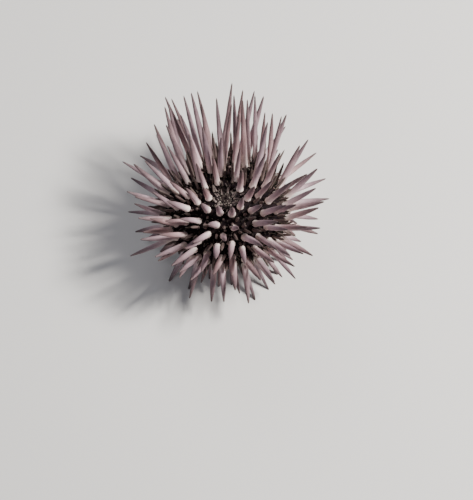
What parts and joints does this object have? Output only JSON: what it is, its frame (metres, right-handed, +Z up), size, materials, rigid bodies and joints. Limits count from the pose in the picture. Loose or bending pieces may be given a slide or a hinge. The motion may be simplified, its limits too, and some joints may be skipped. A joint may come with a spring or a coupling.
{
  "type": "rock-boring sea urchin model",
  "caption": "Life-size still model of a rock-boring sea urchin: a low oval test covered in stout tapering spines, with a dark apical disc above and a toothed mouth below.",
  "frame": {"origin": "on the floor, under the middle of the urchin's box", "axes": "+X along the test's long axis, from interambulacrum 3 towards ambulacrum I; +Y the side to which the longest spines sweep; +Z up, from the mouth to the apical disc"},
  "size_m": [0.0752, 0.0812, 0.0483],
  "materials": {
    "spines": "dull, finely ridged, dusty mauve",
    "skin": "moist, almost black",
    "plates": "matt, dark, with paler specks",
    "teeth": "hard, ivory white"
  },
  "bodies": {
    "root": {"ambulacrum_I": "spines", "ambulacrum_II": "spines", "ambulacrum_III": "spines", "ambulacrum_IV": "spines", "ambulacrum_V": "spines", "interambulacrum_1": "spines", "interambulacrum_2": "spines", "interambulacrum_3": "spines", "interambulacrum_4": "spines", "interambulacrum_5": "spines", "apical_disc": "plates", "madreporite": "plates", "periproct": "plates", "peristome": "skin", "lantern_teeth": "teeth"}
  },
  "joints": []
}
